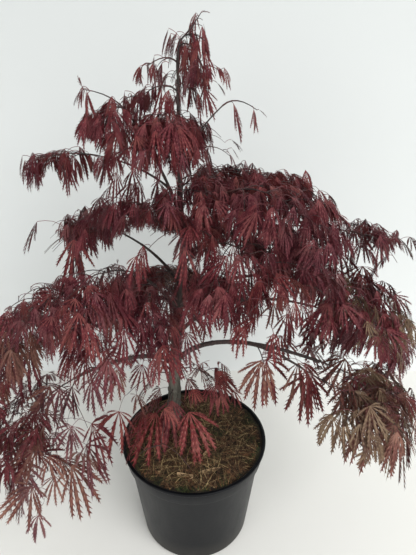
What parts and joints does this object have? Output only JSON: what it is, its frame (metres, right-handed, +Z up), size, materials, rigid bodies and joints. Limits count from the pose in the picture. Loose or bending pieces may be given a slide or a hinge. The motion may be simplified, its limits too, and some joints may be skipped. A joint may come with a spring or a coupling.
{
  "type": "potted japanese maple",
  "caption": "Cut-leaf weeping Japanese maple with plum-red foliage on a slender leaning trunk, in a round black nursery pot filled with compost.",
  "frame": {"origin": "centre of the pot's flat underside, on the surface that the pot stands on", "axes": "+Z up along the pot's axis, +X to the plant's right as seen from its front, +Y to its back"},
  "size_m": [0.8437, 0.5512, 0.9452],
  "materials": {
    "black_plastic": "smooth, slightly glossy black",
    "compost": "loose, rough",
    "bark": "fine-streaked grey-brown bark",
    "leaf_plum": "soft satin",
    "leaf_burgundy": "soft satin",
    "leaf_bronze": "soft satin"
  },
  "bodies": {
    "root": {"pot": "black_plastic", "compost": "compost", "trunk": "bark", "bough_right_low": "bark", "bough_right_low_fork": "bark", "bough_left_low": "bark", "bough_left_low_far": "bark", "bough_right_low_far": "bark", "bough_left_dome": "bark", "bough_left_far": "bark", "bough_right_mid": "bark", "bough_back_left": "bark", "bough_front_mid": "bark", "bough_back_right": "bark", "bough_right_far": "bark", "bough_right_fountain": "bark", "bough_left_thin": "bark", "bough_left_high": "bark", "bough_left_twig": "bark", "bough_right_twig": "bark", "foliage_crest": "leaf_plum", "foliage_tip_right": "leaf_burgundy", "foliage_tip_left": "leaf_bronze", "foliage_tip_back": "leaf_plum", "foliage_upper_left": "leaf_burgundy", "foliage_upper_right": "leaf_bronze", "foliage_upper_front": "leaf_plum", "foliage_upper_back": "leaf_burgundy", "foliage_high_left": "leaf_bronze", "foliage_right_twig": "leaf_plum", "foliage_left_twig": "leaf_burgundy", "foliage_centre_left": "leaf_bronze", "foliage_centre_right": "leaf_plum", "foliage_centre_front": "leaf_burgundy", "foliage_left_thin": "leaf_bronze", "foliage_left_inner": "leaf_plum", "foliage_right_shoulder": "leaf_burgundy", "foliage_right_fountain": "leaf_bronze", "foliage_right_back": "leaf_plum", "foliage_right_inner": "leaf_burgundy", "foliage_right_far": "leaf_bronze", "foliage_back_left": "leaf_plum", "foliage_left_dome": "leaf_burgundy", "foliage_left_dome_front": "leaf_bronze", "foliage_left_far": "leaf_plum", "foliage_front_mid": "leaf_burgundy", "foliage_right_mid": "leaf_bronze", "foliage_back_mid": "leaf_plum", "foliage_back_low": "leaf_burgundy", "foliage_back_right_low": "leaf_bronze", "foliage_right_low_far": "leaf_plum", "foliage_left_low_far": "leaf_burgundy", "foliage_left_low": "leaf_bronze", "foliage_left_low_front": "leaf_plum", "foliage_right_low": "leaf_burgundy", "foliage_right_low_front": "leaf_bronze", "foliage_right_low_inner": "leaf_plum", "foliage_foot_left": "leaf_burgundy", "foliage_foot_right": "leaf_bronze", "foliage_foot_front": "leaf_plum"}
  },
  "joints": []
}
